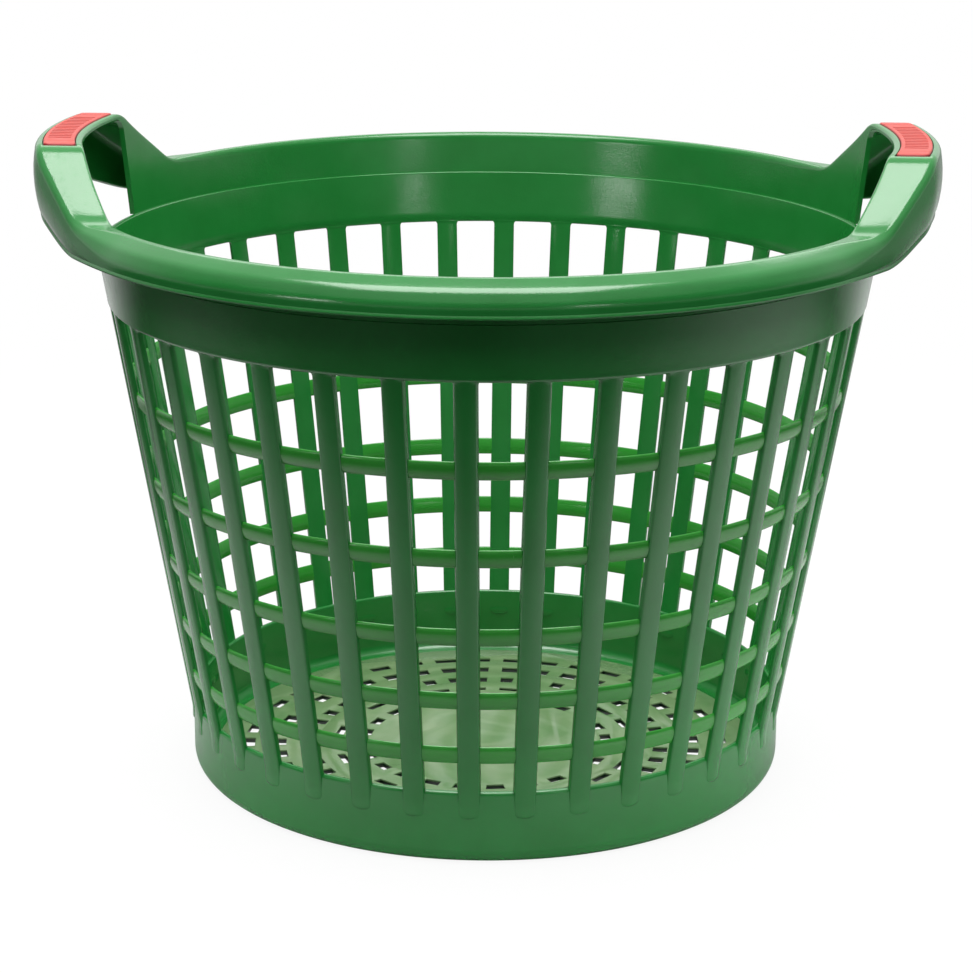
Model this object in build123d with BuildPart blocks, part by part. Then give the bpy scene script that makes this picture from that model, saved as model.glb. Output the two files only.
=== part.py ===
"""Round garden basket with a slotted floor, open ribbed wall, rolled rim and two raised handles.

Millimetres, +Z up. The origin is the centre of the foot, on the surface that the basket stands on.
The handles lie on +X and -X, and the ribs stand at whole multiples of their pitch, counted from +X.
"""

import os
from math import acos, asin, atan, cos, degrees, hypot, radians, sin, tan

from build123d import *

# Whole height, to the top of the grips
basket_height = 344.0

# Wall cone, measured on the collar's outer face at its lower edge
collar_low_radius = 200.0
wall_taper = 9.5
wall_depth = 4.0

# Base band and foot
band_height = 39.7
band_wall = 3.4
foot_round = 9.0
foot_width = 3.0

# Stack above the band: windows by their share of the open wall, with a hoop between each two
window_shares = (16.3, 21.0, 25.5, 32.8, 36.5, 40.5)
hoop_height = 9.5
collar_height = 29.2
rim_rise = 22.8
grip_rise = 32.2

# Ribs and hoops
rib_count = 36
rib_width = 11.6
rib_inset = 0.3
rib_crown = 1.3
rib_foot_height = 27.5
hoop_inset = 1.7
hoop_crown = 0.9

# Floor: solid middle, rings of slots counted from the edge inwards, solid edge
floor_lift = 1.2
floor_wall = 3.0
floor_edge = 14.8
slot_land = 9.3
slot_spoke = 8.0
slot_lengths = (6.0, 8.0, 8.0, 4.5, 6.0)
slot_counts = (40, 40, 40, 24, 24)

# Collar, the ledge on its top, and the rolled rim with its leaning web
collar_edge_round = 1.2
ledge_width = 2.2
web_lean = 7.5
web_wall = 2.5
rim_wall = 3.0
roll_width = 3.4
roll_drop = 3.6
lip_width = 13.3
lip_shoulder = 14.5
lip_drop = 17.2

# Handles
handle_reach = 12.2
handle_half = 63.0
handle_bend_round = 60.0
grip_half = 54.6
grip_round = 17.0
grip_wall = 4.0
grip_edge_round = 3.2
ramp_run = 44.9
ramp_foot_round = 12.0
skirt_lift = 13.5
skirt_lift_half = 52.0
skirt_lift_run = 42.0
opening_low_half = 50.5
opening_top_half = 55.0
opening_round = 8.0
grip_flange = 2.5

# Grip pads
pad_half = 52.5
pad_border = 3.0
pad_width = 16.6
pad_round = 3.0
pad_recess = 2.0
pad_proud = 0.7
pad_gap = 0.15
pad_edge_round = 0.4
groove_count = 13
groove_pitch = 7.4
groove_width = 1.6
groove_depth = 0.5

# Heights that follow from the stack
grip_top = basket_height
rim_top = grip_top - grip_rise
collar_top = rim_top - rim_rise
collar_low = collar_top - collar_height
hoop_shares = window_shares[:-1]
open_wall = collar_low - band_height - hoop_height * len(hoop_shares)
lip_low = rim_top - lip_drop
skirt_low = lip_low + skirt_lift

# Overshoot of the shapes that are only cut away
margin = rim_wall
margin_angle = 1.0


def wall_radius(height):
    """Outer radius of the wall cone at a height."""
    return collar_low_radius + (height - collar_low) * tan(radians(wall_taper))


# Radii that follow from the cone
band_radius = wall_radius(rib_foot_height) - rib_inset
band_inner = band_radius - band_wall
foot_outer = band_radius - foot_round
floor_radius = foot_outer - foot_width
web_foot = wall_radius(collar_top) - wall_depth + ledge_width


def web_radius(height):
    """Inner radius of the leaning web under the rim and the handles at a height."""
    return web_foot + (height - collar_top) * tan(radians(web_lean))


web_direction = (sin(radians(web_lean)), cos(radians(web_lean)))
roll_low = rim_top - roll_drop
crest_radius = web_radius(roll_low) + roll_width
lip_radius = crest_radius + lip_width
handle_tip = lip_radius + handle_reach
handle_angle = degrees(asin(handle_half / handle_tip) + acos(lip_radius / handle_tip))
ramp_foot_half = grip_half + ramp_run
ramp_angle = atan(grip_rise / ramp_run)
ramp_foot_angle = degrees(asin(ramp_foot_half / crest_radius))
shoulder_half = ramp_foot_half + ramp_foot_round * tan(ramp_angle / 2)
shoulder_angle = degrees(asin(shoulder_half / lip_radius))
pad_inner = web_radius(grip_top) + pad_border
pad_outer = pad_inner + pad_width


def radial_plane(angle):
    """Upright plane through the axis: local x is the radius, local y the height."""
    turn = radians(angle)
    return Plane(
        origin=(0, 0, 0),
        x_dir=(cos(turn), sin(turn), 0),
        z_dir=(sin(turn), -cos(turn), 0),
    )


# Floor plate with its rings of slots
with BuildPart() as floor_plate:
    with BuildSketch(Plane.XY.offset(floor_lift)):
        Circle(floor_radius)
        ring_outer = floor_radius - floor_edge
        for slot_length, slot_count in zip(slot_lengths, slot_counts):
            ring_inner = ring_outer - slot_length
            half_pitch = radians(180 / slot_count)
            outer_half = ring_outer * tan(half_pitch) - slot_spoke / 2
            inner_half = ring_inner * tan(half_pitch) - slot_spoke / 2
            with PolarLocations(0, slot_count, start_angle=180 / slot_count):
                Polygon(
                    (ring_inner, -inner_half),
                    (ring_outer, -outer_half),
                    (ring_outer, outer_half),
                    (ring_inner, inner_half),
                    align=None,
                    mode=Mode.SUBTRACT,
                )
            ring_outer = ring_inner - slot_land
    extrude(amount=floor_wall)

# Base band, turned in at the foot
with BuildPart() as base_band:
    with BuildSketch(Plane.XZ):
        with BuildLine():
            Line((band_radius, band_height), (band_radius, foot_round))
            TangentArc((band_radius, foot_round), (foot_outer, 0), tangent=(0, -1))
            Line((foot_outer, 0), (floor_radius, 0))
            Line((floor_radius, 0), (floor_radius, band_wall))
            Line((floor_radius, band_wall), (foot_outer, band_wall))
            TangentArc((foot_outer, band_wall), (band_inner, foot_round), tangent=(1, 0))
            Line((band_inner, foot_round), (band_inner, band_height))
            Line((band_inner, band_height), (band_radius, band_height))
        make_face()
    revolve(axis=Axis.Z)

# Hoops: full rings, flat inside and crowned outside
hoops = []
hoop_low = band_height
for window_share in hoop_shares:
    hoop_low += open_wall * window_share / sum(window_shares)
    hoop_top = hoop_low + hoop_height
    hoop_middle = hoop_low + hoop_height / 2
    with BuildPart() as hoop:
        with BuildSketch(Plane.XZ):
            with BuildLine():
                inner_low = (wall_radius(hoop_low) - wall_depth, hoop_low)
                outer_low = (wall_radius(hoop_low) - hoop_inset - hoop_crown, hoop_low)
                outer_middle = (wall_radius(hoop_middle) - hoop_inset, hoop_middle)
                outer_top = (wall_radius(hoop_top) - hoop_inset - hoop_crown, hoop_top)
                inner_top = (wall_radius(hoop_top) - wall_depth, hoop_top)
                Line(inner_low, outer_low)
                ThreePointArc(outer_low, outer_middle, outer_top)
                Line(outer_top, inner_top)
                Line(inner_top, inner_low)
            make_face()
        revolve(axis=Axis.Z)
    hoops.append(hoop.part)
    hoop_low = hoop_top

# One rib on +X: a crowned bar along the wall, lapped over the hoops and fading out on the base band
slope = cos(radians(wall_taper))
rib_back = wall_depth * slope
rib_front = rib_inset * slope
rib_side = rib_front + rib_crown
rib_plane = Plane(
    origin=(wall_radius(0), 0, 0),
    x_dir=(0, 1, 0),
    z_dir=(sin(radians(wall_taper)), 0, slope),
)
with BuildPart() as rib:
    with BuildSketch(rib_plane):
        with BuildLine():
            Line((-rib_width / 2, rib_side), (-rib_width / 2, rib_back))
            Line((-rib_width / 2, rib_back), (rib_width / 2, rib_back))
            Line((rib_width / 2, rib_back), (rib_width / 2, rib_side))
            ThreePointArc((rib_width / 2, rib_side), (0, rib_front), (-rib_width / 2, rib_side))
        make_face()
    extrude(amount=(collar_low + collar_height) / slope)
    split(bisect_by=Plane.XY.offset(collar_low), keep=Keep.BOTTOM)
    Cylinder(
        band_radius,
        band_height,
        align=(Align.CENTER, Align.CENTER, Align.MIN),
        mode=Mode.SUBTRACT,
    )
    add(hoops, mode=Mode.SUBTRACT)

# Collar: smooth band of the same taper as the wall, with a flat top that carries the rim
with BuildPart() as collar:
    with BuildSketch(Plane.XZ) as collar_section:
        Polygon(
            (wall_radius(collar_low) - wall_depth, collar_low),
            (wall_radius(collar_low), collar_low),
            (wall_radius(collar_top), collar_top),
            (wall_radius(collar_top) - wall_depth, collar_top),
            align=None,
        )
        low_corner = collar_section.vertices().sort_by_distance((collar_low_radius, collar_low))[0]
        fillet(low_corner, collar_edge_round)
    revolve(axis=Axis.Z)

# Rolled rim between the handles, front and rear
rims = {}
for rim_name, rim_start in (("rim_rear", handle_angle), ("rim_front", 180 + handle_angle)):
    with BuildPart() as rim:
        with BuildSketch(radial_plane(rim_start)):
            with BuildLine():
                inner_foot = (web_radius(collar_top), collar_top)
                inner_edge = (web_radius(roll_low), roll_low)
                crest = (crest_radius, rim_top)
                shoulder = (lip_radius, rim_top - lip_shoulder)
                under_shoulder = (lip_radius - rim_wall, rim_top - lip_shoulder)
                under_crest = (crest_radius, rim_top - rim_wall)
                outer_edge = (web_radius(roll_low - rim_wall) + web_wall, roll_low - rim_wall)
                outer_foot = (web_radius(collar_top) + web_wall, collar_top)
                Line(inner_foot, inner_edge)
                TangentArc(inner_edge, crest, tangent=web_direction)
                TangentArc(shoulder, crest, tangent=(0, 1))
                Line(shoulder, (lip_radius, lip_low))
                Line((lip_radius, lip_low), (lip_radius - rim_wall, lip_low))
                Line((lip_radius - rim_wall, lip_low), under_shoulder)
                TangentArc(under_shoulder, under_crest, tangent=(0, 1))
                Line(under_crest, outer_edge)
                Line(outer_edge, outer_foot)
                Line(outer_foot, inner_foot)
            make_face()
        revolve(axis=Axis.Z, revolution_arc=180 - 2 * handle_angle)
    rims[rim_name] = rim.part


# Room inside the leaning web, and the same with the web's own wall
with BuildPart() as web_core:
    Cone(
        web_radius(collar_top),
        web_radius(grip_top),
        grip_top - collar_top,
        align=(Align.CENTER, Align.CENTER, Align.MIN),
    )
with BuildPart() as web_skin:
    Cone(
        web_radius(collar_top) + web_wall,
        web_radius(grip_top) + web_wall,
        grip_top - collar_top,
        align=(Align.CENTER, Align.CENTER, Align.MIN),
    )
to_collar_top = Location((0, 0, collar_top))


def handle_plan(inset, beyond):
    """Plan of the handle on +X, drawn in by an inset: an arc round the grip and two straight
    shoulders that run out on the rim's lip, or beyond that point.
    """
    tip = handle_tip - inset
    lip = lip_radius - inset
    turn = radians(handle_angle)
    bend = turn - acos(lip / tip)
    bend_right = (tip * cos(bend), -tip * sin(bend))
    bend_left = (tip * cos(bend), tip * sin(bend))
    end_right = (lip * cos(turn) - beyond * sin(turn), -lip * sin(turn) - beyond * cos(turn))
    end_left = (lip * cos(turn) - beyond * sin(turn), lip * sin(turn) + beyond * cos(turn))
    with BuildSketch(Plane.XY.offset(collar_top)) as plan:
        with BuildLine():
            Line((0, 0), end_right)
            Line(end_right, bend_right)
            ThreePointArc(bend_right, (tip, 0), bend_left)
            Line(bend_left, end_left)
            Line(end_left, (0, 0))
        make_face()
        fillet(plan.vertices().sort_by(Axis.X)[-2:], handle_bend_round - inset)
    return plan.sketch


def handle_side(inset):
    """Side view of the handle, drawn in by an inset: grip, ramps and rim with rounded bends."""
    side = lip_radius
    low = collar_top - margin
    shift = inset * tan(ramp_angle / 2)
    foot = ramp_foot_half - shift
    half = grip_half - shift
    with BuildSketch(Plane.YZ) as outline:
        Polygon(
            (-side, low),
            (side, low),
            (side, rim_top - inset),
            (foot, rim_top - inset),
            (half, grip_top - inset),
            (-half, grip_top - inset),
            (-foot, rim_top - inset),
            (-side, rim_top - inset),
            align=None,
        )
        rim_corners = outline.vertices().group_by(Axis.Y)[1]
        fillet(rim_corners.sort_by(lambda corner: abs(corner.X))[:2], ramp_foot_round + inset)
        fillet(outline.vertices().group_by(Axis.Y)[-1], grip_round - inset)
    return outline.sketch


def lip_cutter(angle, inset, width, depth):
    """Section outside the rounded outer edge of a handle's shoulder, drawn in by an inset."""
    edge = lip_radius / cos(radians(handle_angle - angle)) - inset
    top = rim_top - inset
    with BuildSketch(radial_plane(angle)) as section:
        with BuildLine():
            TangentArc((edge, top - depth), (edge - width, top), tangent=(0, 1))
            Line((edge, top - depth), (edge + margin, top - depth))
            Line((edge + margin, top - depth), (edge + margin, top + margin))
            Line((edge + margin, top + margin), (edge - width, top + margin))
            Line((edge - width, top + margin), (edge - width, top))
        make_face()
    return section.sketch


def lip_corner(inset):
    """Outer edge of the handle's shoulders, rounded more and more until it meets the rim's round lip."""
    shoulder_round = grip_edge_round / 2
    with BuildPart() as corner:
        loft(
            [
                lip_cutter(shoulder_angle, inset, shoulder_round, shoulder_round),
                lip_cutter(handle_angle + margin_angle, inset, lip_width - inset, lip_shoulder - inset),
            ]
        )
        mirror(about=Plane.XZ)
    return corner.part


lip_outside = lip_corner(0)
lip_inside = lip_corner(rim_wall)

# Room under the handle: the channel between the inner web and the outer skirt
with BuildPart() as channel:
    extrude(handle_plan(rim_wall, margin), amount=grip_top - collar_top)
    add(to_collar_top * web_skin.part, mode=Mode.SUBTRACT)
    add(lip_inside, mode=Mode.SUBTRACT)
    extrude(handle_side(grip_wall), amount=handle_tip, mode=Mode.INTERSECT)

# Everything below the skirt's lower edge, outside the inner web
with BuildPart() as skirt_room:
    with BuildSketch(Plane.YZ):
        Polygon(
            (-lip_radius, collar_top - margin),
            (lip_radius, collar_top - margin),
            (lip_radius, lip_low),
            (skirt_lift_half + skirt_lift_run, lip_low),
            (skirt_lift_half, skirt_low),
            (-skirt_lift_half, skirt_low),
            (-skirt_lift_half - skirt_lift_run, lip_low),
            (-lip_radius, lip_low),
            align=None,
        )
    extrude(amount=handle_tip + margin)
    add(to_collar_top * web_skin.part, mode=Mode.SUBTRACT)

# Hand opening through the inner web, from the collar to the grip's inner edge
with BuildPart() as hand_opening:
    with BuildSketch(Plane.YZ) as opening_outline:
        Polygon(
            (-opening_low_half, collar_top),
            (opening_low_half, collar_top),
            (opening_top_half, grip_top - grip_flange),
            (-opening_top_half, grip_top - grip_flange),
            align=None,
        )
        fillet(opening_outline.vertices().group_by(Axis.Y)[-1], opening_round)
    extrude(amount=handle_tip)
    add(to_collar_top * web_skin.part, mode=Mode.INTERSECT)

# Corner taken off the inner edge of the handle's shoulders, so that they carry on the rim's roll
with BuildPart() as roll_corner:
    with BuildSketch(radial_plane(-handle_angle - margin_angle)):
        with BuildLine():
            inner_edge = (web_radius(roll_low), roll_low)
            inner_low = (web_radius(roll_low) - margin, roll_low)
            inner_top = (web_radius(roll_low) - margin, rim_top + margin)
            crest = (crest_radius, rim_top)
            crest_top = (crest_radius, rim_top + margin)
            TangentArc(inner_edge, crest, tangent=web_direction)
            Line(inner_edge, inner_low)
            Line(inner_low, inner_top)
            Line(inner_top, crest_top)
            Line(crest_top, crest)
        make_face()
    revolve(axis=Axis.Z, revolution_arc=handle_angle + margin_angle - ramp_foot_angle)
    mirror(about=Plane.XZ)


def pad_outline(gap):
    """Plan of a grip pad on +X, drawn in by a gap on every side."""
    Circle(pad_outer - gap)
    Circle(pad_inner + gap, mode=Mode.SUBTRACT)
    with Locations((handle_tip / 2, 0)):
        Rectangle(handle_tip, 2 * (pad_half - gap), mode=Mode.INTERSECT)


# Handle on +X
with BuildPart() as handle:
    extrude(handle_plan(0, 0), amount=grip_top - collar_top)
    extrude(handle_side(0), amount=handle_tip + margin, mode=Mode.INTERSECT)
    add(to_collar_top * web_core.part, mode=Mode.SUBTRACT)
    top_edges = handle.edges().filter_by(lambda edge: edge.center().Z > rim_top - margin)
    fillet(
        top_edges.filter_by(lambda edge: hypot(edge.center().X, edge.center().Y) > lip_radius - margin),
        grip_edge_round,
    )
    add(channel.part, mode=Mode.SUBTRACT)
    add(skirt_room.part, mode=Mode.SUBTRACT)
    add(hand_opening.part, mode=Mode.SUBTRACT)
    add(roll_corner.part, mode=Mode.SUBTRACT)
    add(lip_outside, mode=Mode.SUBTRACT)
    with BuildSketch(Plane.XY.offset(grip_top)) as recess:
        pad_outline(0)
        fillet(recess.vertices(), pad_round)
    extrude(amount=-pad_recess, mode=Mode.SUBTRACT)

# Grip pad on +X, seated in the recess, with cross grooves in its top
with BuildPart() as grip_pad:
    with BuildSketch(Plane.XY.offset(grip_top - pad_recess)) as pad_plan:
        pad_outline(pad_gap)
        fillet(pad_plan.vertices(), pad_round - pad_gap)
    extrude(amount=pad_recess + pad_proud)
    fillet(grip_pad.faces().sort_by(Axis.Z)[-1].edges(), pad_edge_round)
    with Locations((handle_tip / 2, 0, grip_top + pad_proud)):
        with GridLocations(0, groove_pitch, 1, groove_count):
            Box(
                handle_tip,
                groove_width,
                2 * groove_depth,
                mode=Mode.SUBTRACT,
            )

# Every piece in its own file
os.makedirs("parts", exist_ok=True)


def write_piece(piece, name):
    """Label a finished piece and write it under its name."""
    piece.label = name
    export_step(piece, f"parts/{name}.step")


write_piece(floor_plate.part, "floor_plate")
write_piece(base_band.part, "base_band")
write_piece(collar.part, "collar")
for hoop_number, hoop_part in enumerate(hoops, start=1):
    write_piece(hoop_part, f"hoop_{hoop_number}")
for rim_name, rim_part in rims.items():
    write_piece(rim_part, rim_name)
for rib_number in range(rib_count):
    rib_copy = rib.part.rotate(Axis.Z, rib_number * 360 / rib_count)
    write_piece(rib_copy, f"rib_{rib_number + 1:02d}")
write_piece(handle.part, "handle_right")
write_piece(grip_pad.part, "grip_pad_right")
write_piece(handle.part.rotate(Axis.Z, 180), "handle_left")
write_piece(grip_pad.part.rotate(Axis.Z, 180), "grip_pad_left")
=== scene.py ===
"""Garden basket: a green moulded basket with an open ribbed wall, rolled rim and two raised handles."""

from math import asin, atan2, cos, hypot, pi, radians, sin, sqrt, tan

import bmesh
import bpy
from bpy.props import FloatProperty, FloatVectorProperty, IntProperty, PointerProperty
from mathutils import Matrix, Vector


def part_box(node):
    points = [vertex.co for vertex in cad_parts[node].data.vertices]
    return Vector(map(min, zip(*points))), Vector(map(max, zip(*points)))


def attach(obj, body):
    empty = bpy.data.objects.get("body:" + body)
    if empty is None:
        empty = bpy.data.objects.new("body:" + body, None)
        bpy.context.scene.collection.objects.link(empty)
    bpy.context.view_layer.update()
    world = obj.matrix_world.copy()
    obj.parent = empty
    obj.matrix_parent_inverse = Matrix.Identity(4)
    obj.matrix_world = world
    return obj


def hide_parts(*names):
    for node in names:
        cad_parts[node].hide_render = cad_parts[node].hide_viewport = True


bl_info = {
    "name": "Garden Basket",
    "version": (1, 0, 0),
    "blender": (4, 5, 0),
    "location": "3D View > Sidebar > Basket",
    "description": "Builds a moulded garden basket with a ribbed wall, rolled rim and padded handles",
    "category": "Object",
}

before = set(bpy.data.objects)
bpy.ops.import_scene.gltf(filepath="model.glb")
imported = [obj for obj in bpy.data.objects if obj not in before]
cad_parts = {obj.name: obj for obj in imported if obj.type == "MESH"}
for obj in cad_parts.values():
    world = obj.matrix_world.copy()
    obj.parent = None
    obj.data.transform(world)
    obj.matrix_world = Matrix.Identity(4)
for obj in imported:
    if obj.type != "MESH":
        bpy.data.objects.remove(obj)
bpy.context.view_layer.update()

MM = 0.001


def length(label, about, default):
    """A size in metres that the sidebar shows, given in millimetres."""
    return FloatProperty(
        name=label, description=about, default=default * MM, min=0.0, unit="LENGTH", precision=5
    )


def tilt(label, about, default):
    """An angle that the sidebar shows, given in degrees."""
    return FloatProperty(name=label, description=about, default=radians(default), subtype="ANGLE")


def brightness(label, about, default):
    """A strength of light that the sidebar shows."""
    return FloatProperty(name=label, description=about, default=default, min=0.0)


def colour(label, about, default):
    """A colour that the sidebar shows."""
    return FloatVectorProperty(
        name=label, description=about, default=default, size=3, min=0.0, max=1.0, subtype="COLOR"
    )


class BasketSizes(bpy.types.PropertyGroup):
    """Sizes of the basket"""

    height: length("Height", "Height to the top of the grips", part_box("handle_right")[1].z / MM)
    collar_low: length("Collar height", "Height of the collar's lower edge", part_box("collar")[0].z / MM)
    collar_radius: length("Collar radius", "Outer radius of the wall at the collar's lower edge", 200.0)
    taper: tilt("Taper", "Lean of the wall from upright", 9.5)
    wall_depth: length("Wall depth", "Depth of the wall from its outer to its inner face", 4.0)
    ledge_width: length("Ledge width", "Width of the inner ledge on the collar's top", 2.2)
    web_lean: tilt("Web lean", "Lean of the web under the rim", 7.5)
    band_height: length("Band height", "Height of the closed band at the base", 39.7)
    rib_count: IntProperty(name="Ribs", description="Upright ribs round the wall", default=36, min=6)
    rib_foot: length("Rib foot", "Height at which the ribs fade into the base band", 27.5)
    hoop_height: length("Hoop height", "Height of a hoop", 9.5)
    rim_top: length("Rim height", "Height of the rolled rim between the handles", 311.8)
    ledge_top: length("Ledge height", "Height of the inner ledge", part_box("collar")[1].z / MM)
    lip_drop: length("Lip drop", "Depth of the lip that hangs outside the rim", 17.2)
    floor_radius: length("Floor radius", "Radius of the floor plate", 148.83)
    slot_spoke: length("Floor spoke", "Width of the spokes between the floor's slots", 8.0)


class BasketColours(bpy.types.PropertyGroup):
    """Colours of the basket"""

    leaf: colour("Leaf green", "Main colour of the moulding", (0.009, 0.160, 0.024))
    leaf_pale: colour("Pale green", "Lighter clouds in the moulding", (0.013, 0.185, 0.032))
    # Hoop green and its pale clouds are a lighter copy of the moulding's green: painted light for the light
    # that the hoops catch
    hoop: colour("Hoop green", "Colour of the thin hoops, paler than the rest", (0.022, 0.240, 0.022))
    hoop_lit_pale: colour("Pale hoop green", "Lighter clouds in the hoops", (0.028, 0.270, 0.028))
    # Floor green is partly wear and partly painted light: paler, to stand in for light shining through the
    # thin plate
    floor_lit_green: colour("Floor green", "Colour of the worn floor", (0.195, 0.280, 0.140))
    floor_flow: colour("Flow marks", "Colour of the flow marks in the floor", (0.265, 0.350, 0.200))
    # Slot shade is painted shade for the dark walls inside the floor's slots
    slot_shade: colour("Slot shade", "Colour inside the floor's slots", (0.004, 0.016, 0.006))
    coral: colour("Coral", "Colour of the grip pads", (0.5, 0.057, 0.040))
    # Deep coral is painted shade for the pads' grooves
    coral_groove_shade: colour("Deep coral", "Colour in the pads' grooves", (0.30, 0.020, 0.022))
    ground: colour("Ground", "Colour of the ground", (0.90, 0.90, 0.90))


class BasketStage(bpy.types.PropertyGroup):
    """Camera and light"""

    camera_reach: length("Camera reach", "Level distance from the camera to the basket's axis", 1439.4)
    camera_height: length("Camera height", "Height of the camera above the ground", 573.9)
    camera_turn: tilt("Camera turn", "Turn of the camera round the basket", 2.874)
    camera_pitch: tilt("Camera pitch", "Downward lean of the camera", 16.349)
    camera_roll: tilt("Camera roll", "Roll of the camera", 0.26)
    lens: FloatProperty(name="Lens", description="Focal length in millimetres", default=102.29, min=10.0)
    sky_front: brightness("Front surround", "Strength of the surround on the camera's side", 0.1)
    sky_low: brightness("Front horizon", "Strength of the surround low on the camera's side", 0.36)
    sky_high: brightness("Front sky", "Strength of the surround high on the camera's side", 0.45)
    sky_back: brightness("Back surround", "Strength of the surround behind the basket", 0.9)
    top_box: brightness("Top softbox", "Power of the softbox overhead", 24.0)
    side_box: brightness("Side softboxes", "Power of each softbox at the front sides", 13.6)
    back_box: brightness("Back softbox", "Power of the softbox behind the basket", 5.0)
    panel: brightness("Low panels", "Power of each small panel low in front", 0.4)


def sizes():
    """The basket's sizes."""
    return bpy.context.scene.basket_sizes


def wall_radius(height):
    """Outer radius of the wall at a height, both in metres."""
    size = sizes()
    return size.collar_radius + (height - size.collar_low) * tan(size.taper)


def band_radius():
    """Outer radius of the base band: the ribs' faces reach it at their feet."""
    return wall_radius(sizes().rib_foot) - RIB_INSET * MM


def smooth_step(low, high, value):
    """0 below low, 1 above high and a smooth rise between them."""
    share = min(1.0, max(0.0, (value - low) / (high - low)))
    return share * share * (3.0 - 2.0 * share)


def start_piece(name):
    """Name the object that an operator has just added."""
    piece = bpy.context.object
    piece.name = name
    piece.data.name = name
    return piece


def deselect():
    """Leave nothing selected, so that the next operator works on its own piece only."""
    if bpy.context.mode != "OBJECT":
        bpy.ops.object.mode_set(mode="OBJECT")
    bpy.ops.object.select_all(action="DESELECT")


# How near two points are merged: in a spun piece, and in a lofted one with close sections
SEAM = 0.01 * MM
FINE_SEAM = 0.002 * MM


def close_seams(threshold=SEAM):
    """Merge the doubles of the edited mesh and turn its faces outwards."""
    bpy.ops.mesh.select_all(action="SELECT")
    bpy.ops.mesh.remove_doubles(threshold=threshold)
    bpy.ops.mesh.normals_make_consistent(inside=False)


def activate(*pieces):
    """Select these pieces alone, with the first one active."""
    deselect()
    for piece in pieces:
        piece.select_set(True)
    bpy.context.view_layer.objects.active = pieces[0]


def shade(piece, angle=35.0):
    """Shade a piece smooth, with its sharp edges kept."""
    activate(piece)
    bpy.ops.object.shade_smooth_by_angle(angle=radians(angle))


def apply_modifier(piece, kind, **settings):
    """Add a modifier with these settings and apply it."""
    activate(piece)
    modifier = piece.modifiers.new(kind.lower(), kind)
    for name, value in settings.items():
        setattr(modifier, name, value)
    bpy.ops.object.modifier_apply(modifier=modifier.name)


def arc(centre, radius, start, end, steps):
    """Points along an arc in a section, with its angles in degrees."""
    points = []
    for step in range(steps + 1):
        turn = radians(start + (end - start) * step / steps)
        points.append((centre[0] + radius * cos(turn), centre[1] + radius * sin(turn)))
    return points


# Faces round the basket in a spun piece
ROUND_STEPS = 216


def spin_section(name, section):
    """Draw a closed section of radius and height, and spin it round the basket's axis."""
    deselect()
    bpy.ops.mesh.primitive_circle_add(vertices=len(section), radius=1.0, fill_type="NOTHING")
    piece = start_piece(name)
    for vertex, (radius, height) in zip(piece.data.vertices, section):
        vertex.co = (radius, 0.0, height)
    bpy.ops.object.mode_set(mode="EDIT")
    bpy.ops.mesh.select_all(action="SELECT")
    bpy.ops.mesh.spin(steps=ROUND_STEPS, angle=2 * pi, center=(0, 0, 0), axis=(0, 0, 1))
    close_seams()
    bpy.ops.object.mode_set(mode="OBJECT")
    return piece


def loft(name, rings, closed_round=False):
    """Join a row of closed sections into one tube with closed ends, or into one ring."""
    rows = len(rings)
    count = len(rings[0])
    steps = rows if closed_round else rows - 1
    deselect()
    bpy.ops.mesh.primitive_grid_add(x_subdivisions=steps, y_subdivisions=count, size=1.0)
    piece = start_piece(name)
    for vertex in piece.data.vertices:
        row = round((vertex.co.x + 0.5) * steps) % rows
        spot = round((vertex.co.y + 0.5) * count) % count
        vertex.co = rings[row][spot]
    bpy.ops.object.mode_set(mode="EDIT")
    close_seams(FINE_SEAM)
    if not closed_round:
        bpy.ops.mesh.fill_holes(sides=0)
        bpy.ops.mesh.normals_make_consistent(inside=False)
    bpy.ops.object.mode_set(mode="OBJECT")
    return piece


def repeat_round(count):
    """Repeat the edited mesh evenly round the basket's axis."""
    bpy.ops.mesh.select_all(action="SELECT")
    bpy.ops.mesh.spin(
        steps=count - 1,
        dupli=True,
        angle=2 * pi * (count - 1) / count,
        center=(0, 0, 0),
        axis=(0, 0, 1),
    )
    bpy.ops.mesh.select_all(action="SELECT")
    bpy.ops.mesh.normals_make_consistent(inside=False)


def finish_piece(piece, material, slot, *nodes):
    """Give a piece its material, its body and the solids that it stands for."""
    piece.data.materials.clear()
    piece.data.materials.append(material)
    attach(piece, "root")
    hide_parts(*nodes)


def nodes_named(start):
    """Names of the solids that begin in the same way."""
    return [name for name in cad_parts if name.startswith(start)]


def node_adder(tree):
    """A helper that adds a node to a tree, with its settings, values and links."""

    def add(kind, inputs=None, **settings):
        node = tree.nodes.new(kind)
        for key, value in settings.items():
            setattr(node, key, value)
        for key, value in (inputs or {}).items():
            if isinstance(value, bpy.types.NodeSocket):
                tree.links.new(value, node.inputs[key])
            else:
                node.inputs[key].default_value = value
        return node

    return add


def node_tree(name):
    """A new node material with its tree, its shader and the helper that adds nodes."""
    material = bpy.data.materials.new(name)
    material.use_nodes = True
    tree = material.node_tree
    return material, tree, tree.nodes["Principled BSDF"], node_adder(tree)


def ramp(add, source, low, high, low_value=0.0, high_value=1.0):
    """Map a value from one range to another, held at the ends."""
    return add(
        "ShaderNodeMapRange",
        {"Value": source, "From Min": low, "From Max": high, "To Min": low_value, "To Max": high_value},
    ).outputs["Result"]


def maths(add, operation, *values):
    """The result of a calculation with numbers or other nodes' results."""
    return add("ShaderNodeMath", dict(enumerate(values)), operation=operation).outputs[0]


def noise(add, place, scale, detail, **more):
    """A cloudy pattern, with its scale per metre."""
    inputs = {"Vector": place, "Scale": scale, "Detail": detail, **more}
    return add("ShaderNodeTexNoise", inputs).outputs["Fac"]


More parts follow.
